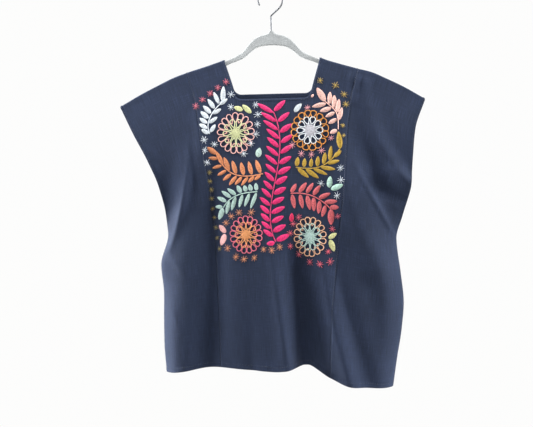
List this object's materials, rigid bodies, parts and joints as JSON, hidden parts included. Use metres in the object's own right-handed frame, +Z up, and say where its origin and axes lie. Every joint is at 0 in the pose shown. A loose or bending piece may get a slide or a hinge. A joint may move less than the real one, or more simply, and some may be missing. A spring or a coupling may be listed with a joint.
{
  "type": "huipil blouse on a hanger",
  "caption": "Sleeveless square-neck huipil of joined cloth panels with an embroidered yoke, hanging open at neck, armholes and hem on a flat flocked hanger.",
  "frame": {"origin": "inside top of the hanger's hook, where a rail bears", "axes": "+Z up, -Y out of the embroidered front, +X to the right as the front is seen"},
  "size_m": [0.659, 0.1305, 0.8666],
  "materials": {
    "left_cloth": "matte woven cotton",
    "centre_cloth": "matte woven cotton",
    "right_cloth": "matte woven cotton",
    "flocking": "matte flocked",
    "hook_wire": "polished"
  },
  "bodies": {
    "root": {"left_panel": "left_cloth", "centre_panel": "centre_cloth", "right_panel": "right_cloth", "hanger_body": "flocking", "hanger_hook": "hook_wire"}
  },
  "joints": []
}
